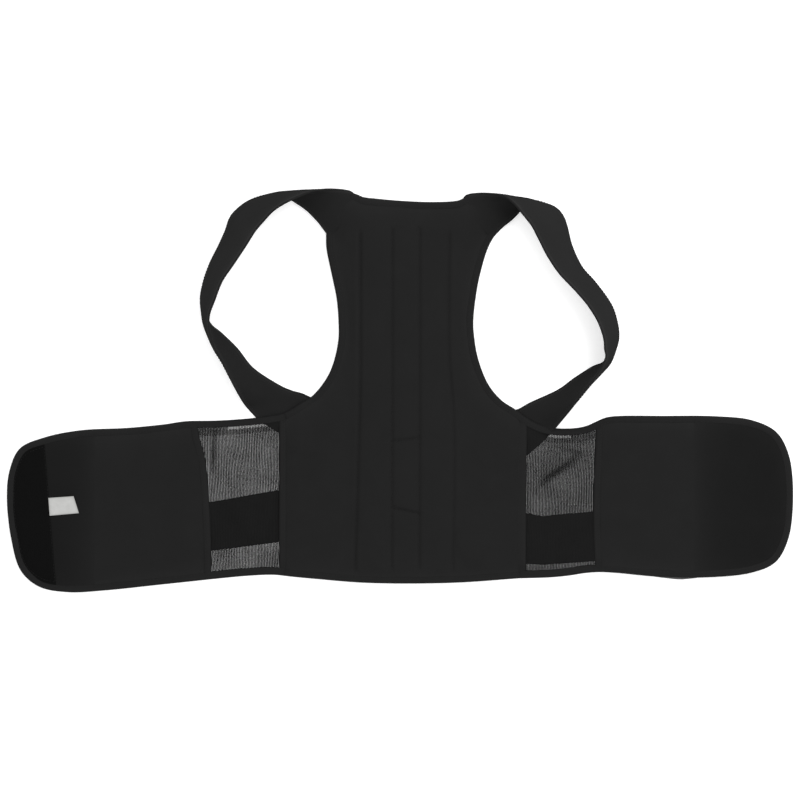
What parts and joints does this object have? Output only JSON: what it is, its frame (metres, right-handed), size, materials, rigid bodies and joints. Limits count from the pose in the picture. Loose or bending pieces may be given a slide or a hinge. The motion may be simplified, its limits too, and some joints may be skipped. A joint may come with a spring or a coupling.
{
  "type": "back brace",
  "caption": "Back and posture brace laid open: padded back panel, shoulder straps, mesh sides, waist wings and tension straps that wrap and close in front.",
  "frame": {"origin": "on the surface the open brace lies on, under the middle of its outline", "axes": "+X along the spread wings, +Y from the hem to the neck, +Z out of the body side"},
  "size_m": [0.9042, 0.4638, 0.0482],
  "materials": {
    "lining_fabric": "brushed knit, matt",
    "outer_fabric": "loop knit, matt",
    "foam": "open foam",
    "stay_metal": "mill",
    "cap_plastic": "moulded",
    "mesh_knit": "open warp knit",
    "hook_tape": "moulded hooks",
    "label_satin": "woven satin",
    "strap_fabric": "laminated knit on foam",
    "binding_tape": "woven elastic tape",
    "elastic_webbing": "ribbed elastic"
  },
  "bodies": {
    "back_panel": {"back_panel_cover": "outer_fabric", "back_panel_padding": "foam", "back_panel_lining": "lining_fabric", "neck_binding": "binding_tape", "left_armhole_binding": "binding_tape", "right_armhole_binding": "binding_tape", "back_hem_binding": "binding_tape", "left_seam_tape": "binding_tape", "right_seam_tape": "binding_tape", "stay_sleeve": "outer_fabric", "left_back_stay": "stay_metal", "right_back_stay": "stay_metal", "left_stay_caps": "cap_plastic", "right_stay_caps": "cap_plastic", "spine_pad": "foam", "left_strap_top_tab": "strap_fabric", "right_strap_top_tab": "strap_fabric", "left_strap_lower_tab": "strap_fabric", "right_strap_lower_tab": "strap_fabric", "left_tension_anchor": "elastic_webbing", "right_tension_anchor": "elastic_webbing"},
    "left_side": {"left_mesh_panel": "mesh_knit", "left_side_top_binding": "binding_tape", "left_side_hem_binding": "binding_tape", "left_tension_elastic": "elastic_webbing"},
    "left_wing": {"left_wing_cover": "outer_fabric", "left_wing_lining": "lining_fabric", "left_wing_seam_tape": "binding_tape", "left_wing_top_binding": "binding_tape", "left_wing_hem_binding": "binding_tape", "left_wing_elastic": "elastic_webbing"},
    "left_wing_end": {"left_end_cover": "outer_fabric", "left_end_lining": "lining_fabric", "left_end_binding": "binding_tape", "hook_strip": "hook_tape", "care_label": "label_satin"},
    "left_tension_pad": {"left_tension_pad": "hook_tape", "left_pull_tab": "elastic_webbing"},
    "left_strap": {"left_shoulder_strap": "strap_fabric"},
    "right_side": {"right_mesh_panel": "mesh_knit", "right_side_top_binding": "binding_tape", "right_side_hem_binding": "binding_tape", "right_tension_elastic": "elastic_webbing"},
    "right_wing": {"right_wing_cover": "outer_fabric", "right_wing_lining": "lining_fabric", "right_wing_seam_tape": "binding_tape", "right_wing_top_binding": "binding_tape", "right_wing_hem_binding": "binding_tape", "right_wing_elastic": "elastic_webbing"},
    "right_wing_end": {"right_end_cover": "outer_fabric", "right_end_lining": "lining_fabric", "right_end_binding": "binding_tape"},
    "right_tension_pad": {"right_tension_pad": "hook_tape", "right_pull_tab": "elastic_webbing"},
    "right_strap": {"right_shoulder_strap": "strap_fabric"}
  },
  "joints": [
    {"name": "left_side_fold", "type": "hinge", "parent": "back_panel", "child": "left_side", "pos_m": [-0.1334, -0.12, 0.0064], "axis": [0, 1, 0], "range_deg": [0, 75]},
    {"name": "right_side_fold", "type": "hinge", "parent": "back_panel", "child": "right_side", "pos_m": [0.138, -0.12, 0.0064], "axis": [0, -1, 0], "range_deg": [0, 75]},
    {"name": "left_wing_fold", "type": "hinge", "parent": "left_side", "child": "left_wing", "pos_m": [-0.223, -0.13, 0.0064], "axis": [0, 1, 0], "range_deg": [0, 55]},
    {"name": "right_wing_fold", "type": "hinge", "parent": "right_side", "child": "right_wing", "pos_m": [0.228, -0.13, 0.0064], "axis": [0, -1, 0], "range_deg": [0, 55]},
    {"name": "left_end_fold", "type": "hinge", "parent": "left_wing", "child": "left_wing_end", "pos_m": [-0.3508, -0.14, 0.0064], "axis": [0, 1, 0], "range_deg": [0, 45]},
    {"name": "right_end_fold", "type": "hinge", "parent": "right_wing", "child": "right_wing_end", "pos_m": [0.338, -0.13, 0.0064], "axis": [0, -1, 0], "range_deg": [0, 45]},
    {"name": "left_strap_swing", "type": "hinge", "parent": "back_panel", "child": "left_strap", "pos_m": [-0.134, -0.021, 0.0064], "axis": [0.2624, 0.965, 0], "range_deg": [0, 75]},
    {"name": "right_strap_swing", "type": "hinge", "parent": "back_panel", "child": "right_strap", "pos_m": [0.138, -0.0247, 0.0064], "axis": [0.1905, -0.9817, 0], "range_deg": [0, 75]},
    {"name": "left_tension_slide", "type": "slide", "parent": "left_wing_end", "child": "left_tension_pad", "axis": [-1, 0, 0], "range_m": [0, 0.03]},
    {"name": "right_tension_slide", "type": "slide", "parent": "right_wing_end", "child": "right_tension_pad", "axis": [1, 0, 0], "range_m": [0, 0.03]}
  ],
  "couplings": [
    {"joint": "left_strap_swing", "follows": "left_side_fold", "ratio": 1},
    {"joint": "right_strap_swing", "follows": "right_side_fold", "ratio": 1}
  ]
}
